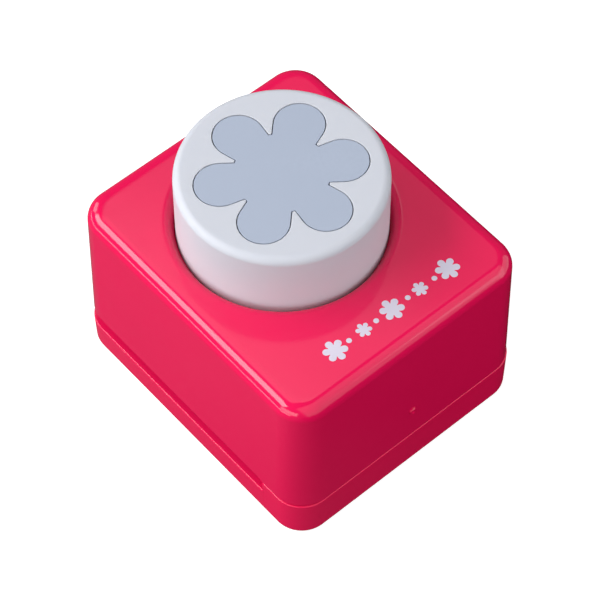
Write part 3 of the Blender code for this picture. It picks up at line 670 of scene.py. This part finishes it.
def makeBaseTray():
    s = baseShape
    topZ = baseHigh.z
    halfX, halfY, radius = baseHigh.x, baseHigh.y, s["cornerRadius"]
    straight = halfY - radius
    end = s["sideEnd"] * mm
    step = roundedPath([(-end, topZ, 0), (s["stepY"] - s["stepLean"], topZ, s["stepTop"]),
                        (s["stepY"], s["ledgeZ"], s["stepFoot"]), (end, s["ledgeZ"], 0)], 5)
    rear = [Vector((y * mm, s["ledgeZ"]))
            for y in range(s["rearStart"], s["sideEnd"] + 1, s["rearStride"])]
    sideTops = step[:-1] + rear
    cornerX = halfX - radius

    def level(inset, drop, shift):
        # drop is measured down from the surface, shift moves the step forwards
        x, y, r = halfX - inset, halfY - inset, radius - inset
        side = [(spot.x - shift, spot.y) for spot in sideTops]
        across = [cornerX * (2 * (k + 1) / (s["acrossSteps"] + 1) - 1) for k in range(s["acrossSteps"])]
        points = [(x, py, z - drop) for py, z in side]
        for k, (sx, sy, z) in enumerate(((1, 1, s["ledgeZ"]), (-1, 1, s["ledgeZ"]), (-1, -1, topZ),
                                         (1, -1, topZ))):
            for j in range(s["cornerSteps"] + 1):
                turn = math.pi / 2 * (k + j / s["cornerSteps"])
                points.append((*turnedPoint((sx * cornerX, sy * straight), r, turn), z - drop))
            points.extend(([(-px, y, z - drop) for px in across],
                           [(-x, py, pz - drop) for py, pz in reversed(side)],
                           [(px, -y, z - drop) for px in across], [])[k])
        return points

    edge = s["topEdge"]
    rings = []
    for k in range(9):
        turn = math.pi / 2 * k / 8
        inset = s["undercut"] + s["floorRoll"] * (1 - math.sin(turn))
        z = s["floorRoll"] * (1 - math.cos(turn))
        rings.append([(px, py, z) for px, py, pz in level(inset, 0.0, edge)])
    rings.append(level(0.0, edge, edge))
    for k in range(1, 7):
        turn = math.pi / 2 * k / 6
        drop = edge * (1 - math.sin(turn))
        rings.append(level(edge * (1 - math.cos(turn)), drop, drop))
    bm = bmesh.new()
    loops = [[bm.verts.new(point) for point in ring] for ring in rings]
    count = len(loops[0])
    for first, second in zip(loops, loops[1:]):
        for j in range(count):
            bm.faces.new((first[j], first[(j + 1) % count], second[(j + 1) % count], second[j]))
    bm.faces.new(reversed(loops[0]))
    top = loops[-1]
    # the top is closed by strips across it, each between a point on the right and its mirror on the left
    mirrored = {(round(vert.co.x / hairline), round(vert.co.y / hairline)): vert for vert in top}
    right = sorted((vert for vert in top if vert.co.x > cornerX - hairline), key=lambda vert: vert.co.y)
    left = [mirrored[(round(-vert.co.x / hairline), round(vert.co.y / hairline))] for vert in right]
    between = sorted((vert for vert in top if abs(vert.co.x) < cornerX - hairline),
                     key=lambda vert: vert.co.x)
    front = [vert for vert in between if vert.co.y < 0]
    back = [vert for vert in between if vert.co.y > 0]
    bm.faces.new([left[1], left[0], *front, right[0], right[1]])
    bm.faces.new([right[-2], right[-1], *reversed(back), left[-1], left[-2]])
    for k in range(1, len(right) - 2):
        bm.faces.new((right[k], right[k + 1], left[k + 1], left[k]))
    mesh = outwards(bm)

    gap = Vector((s["pocketGap"], s["pocketGap"]))
    pocket = tongueOutline(dieLow.xy - gap, dieHigh.xy + gap, s["stepY"] - s["pocketShoulder"],
                           s["pocketTongue"])
    mesh = carve(mesh, [slab(pocket, s["pocketFloor"], s["pocketTop"])])
    low = buttonAxis - Vector((s["windowHalf"],) * 2)
    high = buttonAxis + Vector((s["windowHalf"],) * 2)
    wall = Vector((s["chuteWall"],) * 2)
    seatZ = dieLow.z - s["pocketGap"]
    chute = slab(rectangleOutline(low - wall, high + wall, s["windowRadius"] + s["chuteWall"]), mm,
                 seatZ, 0.0, 0.2 * mm)
    seats = [upright(s["seatRadius"], mm, seatZ, middleOf(name)) for name in copiesOf("die_screw")]
    mesh = carve(carve(mesh, [chute], "UNION"), [joined(seats)], "UNION")
    window = rectangleOutline(low, high, s["windowRadius"])
    mesh = carve(mesh, [slab(window, 0.0, s["windowTop"], -s["windowEdge"])])
    cutters = []
    for names, top in ((copiesOf("die_screw"), seatZ), (copiesOf("base_screw"), topZ)):
        cutters += [drill(middleOf(name), s["holeRadius"], 0.0, top, s["holeFlare"], 32,
                          (s["sinkRadius"], s["sinkDepth"])) for name in names]
    for x, y in s["pinMarks"]:
        cutters.append(lathe([(s["pinRadius"] + 0.1 * mm, -0.1 * mm),
                              (s["pinRadius"] - 0.1 * mm, s["pinDepth"])], (x * mm, y * mm), 32))
    finePiece("base_tray", carve(mesh, [joined(cutters)]), "base_red", "housing", 32)


makeBaseTray()
print("base tray made")


# button: a turned cap with a flange, an inlay pocket and four screw bosses, and the inlay in it

capShape = {
    "radius": 28.0 * mm,
    "topRoll": 2.2 * mm,
    "wall": 2.4 * mm,
    "roof": 3.7 * mm,
    "flange": 2.5 * mm,
    "ramGap": 1.2 * mm,            # between the flange and the ram
    "centreFace": 6 * mm,          # where the turned skin ends in a flat round face
    "bossRadius": 3.2 * mm,
    "pilotRadius": 1.7 * mm,
    "pilotDepth": 8.4 * mm,
    "steps": 180,
    "pocketGap": 0.15 * mm,
    "pocketLip": 0.12 * mm,
    "pocketBed": 0.3 * mm,         # glue gap under the inlay
    "inlayGap": 0.12 * mm,
    "inlayEdge": 0.08 * mm,
}


def makeButton():
    s = capShape
    topZ, lowZ = capHigh.z, ramHigh.z + s["ramGap"]
    roofZ, flangeZ = topZ - s["roof"], lowZ + s["flange"]
    outer, inner = capHigh.x, s["radius"] - s["wall"]
    path = roundedPath([(s["centreFace"], topZ, 0), (s["radius"], topZ, s["topRoll"]),
                        (s["radius"], flangeZ, 0.4 * mm), (outer, flangeZ, 0.3 * mm),
                        (outer, lowZ, 0.3 * mm), (inner, lowZ, 0.3 * mm), (inner, roofZ, 1.5 * mm),
                        (s["centreFace"], roofZ, 0)], 12)
    mesh = lathe(path, buttonAxis, s["steps"])
    bosses = [upright(s["bossRadius"], capLow.z, roofZ + cutOver, middleOf(name))
              for name in copiesOf("cap_screw")]
    mesh = carve(mesh, [joined(bosses)], "UNION")
    pocket = slab(flowerShaped(s["pocketGap"]), inlayLow.z - s["pocketBed"], topZ, 0.0, -s["pocketLip"])
    pilots = [upright(s["pilotRadius"], capLow.z - mm, capLow.z + s["pilotDepth"], middleOf(name), 20)
              for name in copiesOf("cap_screw")]
    finePiece("button_cap", carve(mesh, [joined([pocket] + pilots)]), "button_white", "plunger", 30)
    inlay = slab(flowerShaped(-s["inlayGap"]), inlayLow.z, inlayHigh.z, 0.0, s["inlayEdge"])
    finePiece("flower_inlay", inlay, "inlay_grey", "plunger", 50)


makeButton()
print("button made")


# white printed ornament on the front of the top: a row of blossoms and dots

ornamentShape = {
    "y": -34.0 * mm,
    # each blossom's place in mm and its size as a share of the flower, then the dots' places in mm
    "blossoms": [(-17.2, 0.145), (-7.6, 0.095), (2.0, 0.145), (11.6, 0.095), (21.2, 0.145)],
    "dots": [-12.6, -3.4, 7.4, 16.6],
    "dotRadius": 0.75 * mm,
    "thickness": 0.05 * mm,
    "root": 0.03 * mm,
    "edge": 0.03 * mm,
}


def makeOrnament():
    s = ornamentShape
    lowZ, highZ = caseHigh.z - s["root"], caseHigh.z + s["thickness"]
    outlines = [flowerOutline(0.0, Vector((x * mm, s["y"])), size, 12) for x, size in s["blossoms"]]
    outlines += [circleOutline((x * mm, s["y"]), s["dotRadius"], 24) for x in s["dots"]]
    mesh = joined([slab(outline, lowZ, highZ, 0.0, s["edge"], 2) for outline in outlines])
    piece("printed_blossoms", mesh, finishes["print_white"], "housing", sharp=50)


makeOrnament()
print("ornament made")


# steel plates, paper stop and punch

plateShape = {
    "edge": 0.25 * mm,
    "dieShoulder": -31.1 * mm,
    "stripperShoulder": -31.7 * mm,
    "tongueHalf": 26.0 * mm,
    "dieGap": 0.06 * mm,
    "stripperGap": 0.22 * mm,
    "stripperRound": 0.15 * mm,
    "stopCorner": 0.8 * mm,
    "holeRadius": 1.7 * mm,
    "postHole": 2.8 * mm,
    "sinkRadius": 3.3 * mm,        # countersinks for the stripper screws, from below
    "sinkNeck": 1.5 * mm,
    "punchGap": 0.06 * mm,
    "punchTop": 0.3 * mm,
    "punchHollow": 0.8 * mm,       # how deep the punch's cutting face is ground hollow
    "punchLand": 19.5 * mm,
    "punchThread": 7 * mm,
}


def makePlates():
    s = plateShape

    def plate(node, outline, low, high, cutters):
        mesh = slab(outline, low.z, high.z, s["edge"], s["edge"])
        finePiece(node, carve(mesh, [joined(cutters)]), "plate_steel", "housing")

    def holes(names, radius, low, high, steps=24):
        return [drill(middleOf(name), radius, low.z, high.z, steps=steps) for name in names]

    names = copiesOf("die_screw") + copiesOf("stack_screw")
    plate("die_plate", tongueOutline(dieLow.xy, dieHigh.xy, s["dieShoulder"], s["tongueHalf"]), dieLow,
          dieHigh, [slab(flowerShaped(s["dieGap"]), dieLow.z - mm, dieHigh.z + mm)]
          + holes(names, s["holeRadius"], dieLow, dieHigh))

    low, high, mouth, neck = stripperLow, stripperHigh, -s["stripperRound"], s["sinkNeck"]
    cutters = [slab(flowerShaped(s["stripperGap"]), low.z, high.z, mouth, mouth)]
    cutters += holes(copiesOf("stack_screw"), s["holeRadius"], low, high)
    cutters += holes(copiesOf("guide_post"), s["postHole"], low, high, 32)
    cone = [(s["sinkRadius"], low.z - 0.3 * mm), (neck, low.z + neck), (neck, high.z + mm)]
    cutters += [lathe(cone, middleOf(name), 32) for name in copiesOf("stripper_screw")]
    plate("stripper_plate", tongueOutline(low.xy, high.xy, s["stripperShoulder"], s["tongueHalf"]), low,
          high, cutters)

    plate("paper_stop", rectangleOutline(stopLow.xy, stopHigh.xy, s["stopCorner"]), stopLow, stopHigh,
          holes(copiesOf("stack_screw"), s["holeRadius"], stopLow, stopHigh))


def makePunch():
    # the hollow is cut with a dome, whose path is an arc from past the land to near the axis
    s = plateShape
    mesh = slab(flowerShaped(-s["punchGap"]), punchLow.z, punchHigh.z, 0.0, s["punchTop"])
    hollow = s["punchHollow"]
    ball = (s["punchLand"] ** 2 + hollow ** 2) / (2 * hollow)
    path = [(ball * math.sin(turn), punchLow.z + hollow - ball * (1 - math.cos(turn)))
            for turn in [1.25 * s["punchLand"] / ball * (k + 0.25) / 12 for k in range(13)]]
    pilots = [drill(middleOf(name), s["holeRadius"], punchHigh.z - s["punchThread"], punchHigh.z, steps=20)
              for name in copiesOf("punch_screw")]
    dome = lathe(list(reversed(path)) + [(0.2 * mm, punchLow.z + hollow)], buttonAxis, 96)
    finePiece("punch", carve(mesh, [joined([dome] + pilots)]), "punch_steel", "plunger", 30)


makePlates()
makePunch()
print("plates and punch made")


# ram, posts, bushes and springs inside the case

guideShape = {
    "plateDepth": 4 * mm,          # the ram's plate, below the tops of its bushes
    "plateEdge": 0.5 * mm,
    "hubRadius": 15.0 * mm,
    "hubEdge": 0.4 * mm,
    "hubBore": 7.5 * mm,
    "ribHalf": 1.1 * mm,
    "ribDepth": 6.0 * mm,
    "ribStart": 2 * mm,            # outside the hub's bore
    "ribEnd": 7 * mm,              # short of the bush's middle
    "lug": 5.6 * mm,
    "bushHole": 4.5 * mm,
    "screwHole": 1.7 * mm,
    "bushBody": 4.2 * mm,
    "bushFlange": 1.0 * mm,
    "postRadius": 2.5 * mm,
    "postCentre": 0.3 * mm,        # radius of the flat face that closes each end
    "grooveDepth": 0.25 * mm,
    "grooveDrops": (2.2 * mm, 2.4 * mm, 3.0 * mm, 3.2 * mm),     # lip, floor, floor, lip
    "groundShare": 0.35,           # how much of the end turns' wire radius is ground away
    "closedPitch": 2.1,            # wire radii that an end turn rises
    "wireRadius": 0.65 * mm,
    "coilRadius": 3.9 * mm,
    "coilTurns": 5,
    "coilSteps": 28,
    "wireSides": 12,
    "stroke": frame["joints"][0]["range_m"][1],
}


def makeRam():
    s = guideShape
    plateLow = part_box("ram_bush_1")[1].z - s["plateDepth"]
    mesh = slab(rectangleOutline(ramLow.xy, ramHigh.xy, s["lug"], 12), plateLow, ramHigh.z,
                s["plateEdge"], s["plateEdge"])
    hub = lathe([(s["hubRadius"] - s["hubEdge"], ramLow.z), (s["hubRadius"], ramLow.z + s["hubEdge"]),
                 (s["hubRadius"], plateLow + mm)], buttonAxis, 64)
    ribs = []
    start, half = s["hubBore"] + s["ribStart"], s["ribHalf"]
    for name in copiesOf("ram_bush"):
        reach = middleOf(name) - buttonAxis
        end = reach.length - s["ribEnd"]
        spin = Matrix.Rotation(math.atan2(reach.y, reach.x), 2)
        outline = [spin @ Vector(point) + buttonAxis
                   for point in ((start, -half), (end, -half), (end, half), (start, half))]
        ribs.append(slab(outline, plateLow - s["ribDepth"], plateLow + mm))
    mesh = carve(carve(mesh, [hub], "UNION"), [joined(ribs)], "UNION")
    cutters = [drill(buttonAxis, s["hubBore"], ramLow.z, ramHigh.z, s["hubEdge"], 48)]
    cutters += [drill(middleOf(name), s["bushHole"], plateLow, ramHigh.z, steps=32)
                for name in copiesOf("ram_bush")]
    cutters += [drill(middleOf(name), s["screwHole"], ramLow.z, ramHigh.z, steps=20)
                for name in copiesOf("punch_screw") + copiesOf("cap_screw")]
    finePiece("press_ram", carve(mesh, [joined(cutters)]), "ram_white", "plunger")


def makePost(node):
    s = guideShape
    low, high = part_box(node)
    r, centre, floor = s["postRadius"], s["postCentre"], s["postRadius"] - s["grooveDepth"]
    groove = [(radius, high.z - drop, 0.1 * mm)
              for radius, drop in zip((r, floor, floor, r), s["grooveDrops"])]
    path = roundedPath([(centre, high.z, 0), (r, high.z, 0.5 * mm), *groove, (r, low.z, 0.3 * mm),
                        (centre, low.z, 0)], 4)
    finePiece(node, lathe(path, middleOf(node), 48), "post_steel", "housing", 50)


def makeBush(node):
    s = guideShape
    low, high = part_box(node)
    bore, outer, flange = s["postRadius"] + 0.1 * mm, s["bushBody"], high.x - middleOf(node).x
    shoulder = low.z + s["bushFlange"]
    path = roundedPath([(bore, high.z, 0.2 * mm), (outer, high.z, 0.25 * mm),
                        (outer, shoulder, 0.1 * mm), (flange, shoulder, 0.2 * mm),
                        (flange, low.z, 0.2 * mm), (bore, low.z, 0.2 * mm)], 4, closed=True)
    finePiece(node, lathe(path, middleOf(node), 48, closed=True), "bush_brass", "plunger", 50)


def makeSpring(node):
    # the end turns lie flat and are ground level; the wire's rings follow the helix
    s = guideShape
    low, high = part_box(node)
    centre = middleOf("guide_post_" + node[-1])
    ground = s["groundShare"] * s["wireRadius"]
    closedPitch = s["closedPitch"] * s["wireRadius"]
    openRise = high.z - low.z - 2 * (s["wireRadius"] - ground) - 2 * closedPitch
    rings = []
    for k in range(s["coilTurns"] * s["coilSteps"] + 1):
        turns = k / s["coilSteps"]
        share = min(max((turns - 1) / (s["coilTurns"] - 2), 0.0), 1.0)
        rise = closedPitch * (min(turns, 1.0) + max(turns - s["coilTurns"] + 1, 0.0)) + openRise * share
        angle = 2 * math.pi * turns
        away = Vector((math.cos(angle), math.sin(angle), 0.0))
        middle = Vector((*centre, low.z + s["wireRadius"] - ground + rise)) + away * s["coilRadius"]
        ring = []
        for j in range(s["wireSides"]):
            turn = 2 * math.pi * j / s["wireSides"]
            around = away * math.cos(turn) + Vector((0, 0, 1)) * math.sin(turn)
            spot = middle + s["wireRadius"] * around
            spot.z = min(max(spot.z, low.z), high.z)
            ring.append(spot)
        rings.append(ring)
    item = finePiece(node, skin(rings), "spring_steel", "housing", 60)
    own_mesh(item)


makeRam()
for node in copiesOf("guide_post"):
    makePost(node)
for node in copiesOf("ram_bush"):
    makeBush(node)
for node in copiesOf("return_spring"):
    makeSpring(node)
print("ram, guides and springs made")


# screws: a cross-recessed head, pan or countersunk, on a threaded shank

screwShape = {
    "headRadius": 2.8 * mm,
    "headHeight": 1.6 * mm,
    "shankRadius": 1.4 * mm,
    "threadDepth": 0.22 * mm,
    "pitch": 0.9 * mm,
    "ridgeShare": 0.32,            # half a ridge's width as a share of the pitch
    "tipTaper": 1.5,               # turns over which the tip narrows
    "plainNeck": 0.8 * mm,
    "panFace": 1.7 * mm,           # radius of the flat middle of each head's outer face
    "panRound": 0.75 * mm,
    "sunkFace": 2.0 * mm,
    "sunkDepth": 1.3 * mm,
    "sunkNeck": 0.6 * mm,
    "recessReach": 1.5 * mm,
    "recessHalf": 0.28 * mm,
    "recessDepth": 1.1 * mm,
    "firstTurn": 0.7,              # radians that the recesses are turned by, so that no two look alike
    "nextTurn": 1.1,
    "sides": 24,
    "rowsPerPitch": 6,
}


def screwMesh(length, countersunk):
    # along local Z: the head's outer face is at 0 and the tip at -length
    s = screwShape
    head, shank = s["headRadius"], s["shankRadius"]
    if countersunk:
        path = roundedPath([(s["sunkFace"], 0.0, 0), (head, 0.0, 0.05 * mm),
                            (shank, -s["sunkDepth"], 0.1 * mm),
                            (shank, -s["sunkDepth"] - s["sunkNeck"], 0)], 4)
    else:
        path = roundedPath([(s["panFace"], 0.0, 0), (head, 0.0, s["panRound"]),
                            (head, -s["headHeight"], 0.12 * mm), (shank, -s["headHeight"], 0.1 * mm),
                            (shank, -s["headHeight"] - s["plainNeck"], 0)], 5)
    rings = [[(*turnedPoint((0, 0), r, 2 * math.pi * k / s["sides"]), z) for k in range(s["sides"])]
             for r, z in path]
    startZ = path[-1].y
    rows = int((length + startZ) / s["pitch"] * s["rowsPerPitch"])
    for row in range(1, rows + 1):
        z = startZ - (length + startZ) * row / rows
        taper = min(1.0, (rows - row) / (s["tipTaper"] * s["rowsPerPitch"]) + 0.25)
        ring = []
        for k in range(s["sides"]):
            phase = (z / s["pitch"] + k / s["sides"]) % 1.0
            ridge = max(0.0, 1 - abs(phase - 0.5) / s["ridgeShare"])
            groove = s["threadDepth"] * (1 - ridge) * min(1.0, row / s["rowsPerPitch"])
            radius = (shank - groove) * (0.55 + 0.45 * taper)
            ring.append((*turnedPoint((0, 0), radius, 2 * math.pi * k / s["sides"]), z))
        rings.append(ring)
    bars = []                      # the recess: two crossed bars that narrow downwards
    for turn in (0.0, math.pi / 2):
        bm = bmesh.new()
        bmesh.ops.create_cube(bm, size=2.0)
        for vert in bm.verts:
            deep = 0.42 if vert.co.z < 0 else 1.0
            z = -s["recessDepth"] if vert.co.z < 0 else 0.2 * mm
            vert.co = (vert.co.x * s["recessReach"] * deep,
                       vert.co.y * s["recessHalf"] * (0.8 if deep < 1 else 1.0), z)
        bm.transform(Matrix.Rotation(turn, 4, "Z"))
        bars.append(meshFrom(bm))
    return carve(skin(rings), bars)


def makeScrews():
    s = screwShape
    kinds = {
        # body, whether the head is at the lower end, whether it is countersunk
        "cap_screw": ("plunger", True, False), "punch_screw": ("plunger", False, False),
        "die_screw": ("housing", True, False), "base_screw": ("housing", True, False),
        "stack_screw": ("housing", True, False), "stripper_screw": ("housing", True, True),
    }
    for stem, (body, headBelow, countersunk) in kinds.items():
        low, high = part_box(stem + "_1")
        mesh = screwMesh(high.z - low.z, countersunk)
        for k, node in enumerate(copiesOf(stem)):
            place = Matrix.Translation((*middleOf(node), low.z if headBelow else high.z))
            place = place @ Matrix.Rotation(s["firstTurn"] + s["nextTurn"] * k, 4, "Z")
            if headBelow:
                place = place @ Matrix.Rotation(math.pi, 4, "X")
            finePiece(node, mesh.copy(), "screw_steel", body, 40, place)


makeScrews()
print("screws made")


# stage: floor, lights and camera

stageShape = {
    "floorSize": 4.0,
    "floorColour": (0.58, 0.58, 0.58, 1.0),
    "patchShade": 0.985,
    "fineScale": 400.0,
    "patchScale": 4.0,
    # the floor's colour for all but camera rays, as it shows in the gloss and bounce: a painted shadow of
    # the punch, dark front right of it, then lighter back left on the softboxes' side
    "shadedBounce": (0.012, 0.012, 0.013, 1.0),
    "litBounce": (0.13, 0.13, 0.134, 1.0),
    "bounceFade": 70 * mm,
    "floorLift": 0.72,             # light added to the floor for the camera alone, not under the punch
    "standHalf": (30 * mm, 36 * mm),
    "world": (1.0, 1.0, 1.0, 1.0),
    "worldStrength": 0.12,
}
lamps = [
    # name, place, aimed at, width, height (m), watts, colour
    ("back left softbox", (-0.62, 0.50, 0.70), (0.0, 0.0, 0.05), 0.94, 0.45, 9.2, (1.0, 1.0, 0.995)),
    ("back panel", (-0.14, 0.92, 0.42), (0.0, 0.0, 0.05), 0.34, 0.40, 1.6, (1.0, 1.0, 0.995)),
    ("left softbox", (-0.94, -0.18, 0.33), (0.0, 0.0, 0.05), 0.90, 0.40, 3.7, (1.0, 1.0, 0.995)),
    ("low strip", (-0.64, 0.31, 0.040), (0.0, 0.0, 0.06), 1.50, 0.06, 1.60, (1.0, 1.0, 0.995)),
    ("overhead panel", (0.06, 0.44, 1.12), (0.06, 0.30, 0.0), 0.70, 0.50, 0.50, (0.99, 0.995, 1.0)),
    ("middle overhead panel", (0.13, 0.44, 1.13), (0.13, 0.30, 0.0), 0.78, 0.54, 0.58, (0.99, 0.995, 1.0)),
    ("outer overhead panel", (0.23, 0.44, 1.14), (0.23, 0.30, 0.0), 0.96, 0.58, 0.74, (0.99, 0.995, 1.0)),
    ("front panel", (0.10, -0.68, 0.62), (0.0, 0.0, 0.05), 1.50, 1.30, 5.6, (0.99, 0.995, 1.0)),
    ("right fill", (0.80, -0.52, 0.32), (0.0, 0.0, 0.05), 1.10, 0.80, 3.7, (0.99, 0.995, 1.0)),
]
cameraShape = {
    "lookAt": (-0.95 * mm, -1.60 * mm, 28.75 * mm),
    "azimuth": math.radians(-40.80),
    "elevation": math.radians(55.75),
    "roll": math.radians(-0.11),
    "distance": 733.4 * mm,
    "lens": 164.34,
    "sensor": 36.0,
}


def aimed(place, target):
    turn = (Vector(target) - Vector(place)).to_track_quat("-Z", "Y")
    return Matrix.Translation(place) @ turn.to_matrix().to_4x4()


def floorMaterial(s):
    material, tree, shader, place = startMaterial("pale floor")
    grain = useGroup(tree, mouldGrain, Vector=place, Fine_Scale=s["fineScale"],
                     Patch_Scale=s["patchScale"])
    tone = mixColour(tree, grain.outputs[1], s["floorColour"],
                     tuple(s["patchShade"] * c for c in s["floorColour"][:3]) + (1.0,))
    rays = tree.nodes.new("ShaderNodeLightPath")
    axes = wire(tree, "ShaderNodeSeparateXYZ", None, i0=place)
    # painted shadow: for rays other than the camera's, the floor's colour fades from dark front right to
    # light back left, standing in for the punch's shadow on it
    towardsLight = maths(tree, "SUBTRACT", axes.outputs[1], axes.outputs[0])
    lit = spread(tree, towardsLight, 0.0, 1.0, -s["bounceFade"], s["bounceFade"])
    seen = mixColour(tree, rays.outputs["Is Camera Ray"],
                     mixColour(tree, lit, s["shadedBounce"], s["litBounce"]), tone)
    tree.links.new(seen, shader.inputs["Base Color"])
    shader.inputs["Roughness"].default_value = 0.85
    shader.inputs["Specular IOR Level"].default_value = 0.0
    shader.inputs["Emission Color"].default_value = (1.0, 1.0, 1.0, 1.0)
    across, along = (maths(tree, "GREATER_THAN", maths(tree, "ABSOLUTE", axes.outputs[k]), half)
                     for k, half in enumerate(s["standHalf"]))
    lift = maths(tree, "MULTIPLY", maths(tree, "MAXIMUM", across, along), s["floorLift"])
    tree.links.new(maths(tree, "MULTIPLY", rays.outputs["Is Camera Ray"], lift),
                   shader.inputs["Emission Strength"])
    return material


def makeStage():
    s = stageShape
    bm = bmesh.new()
    bmesh.ops.create_grid(bm, x_segments=1, y_segments=1, size=s["floorSize"] / 2)
    floor = bpy.data.objects.new("floor", meshFrom(bm))
    scene.collection.objects.link(floor)
    floor.data.materials.append(floorMaterial(s))
    world = bpy.data.worlds.new("studio")
    world.use_nodes = True
    background = world.node_tree.nodes["Background"]
    background.inputs[0].default_value = s["world"]
    background.inputs[1].default_value = s["worldStrength"]
    scene.world = world
    for name, spot, target, width, height, watts, colour in lamps:
        light = bpy.data.lights.new(name, "AREA")
        light.shape = "RECTANGLE"
        light.size, light.size_y, light.energy, light.color = width, height, watts, colour
        item = bpy.data.objects.new(name, light)
        item.matrix_world = aimed(spot, target)
        scene.collection.objects.link(item)
    scene.view_settings.view_transform = "Standard"


def makeCamera():
    s = cameraShape
    back = Vector((math.sin(s["azimuth"]) * math.cos(s["elevation"]),
                   -math.cos(s["azimuth"]) * math.cos(s["elevation"]),
                   math.sin(s["elevation"])))
    camera = bpy.data.cameras.new("camera")
    camera.lens, camera.sensor_width = s["lens"], s["sensor"]
    item = bpy.data.objects.new("camera", camera)
    place = Vector(s["lookAt"]) + back * s["distance"]
    item.matrix_world = aimed(place, s["lookAt"]) @ Matrix.Rotation(s["roll"], 4, "Z")
    scene.collection.objects.link(item)
    scene.camera = item


makeStage()
makeCamera()
print("stage, lights and camera made")
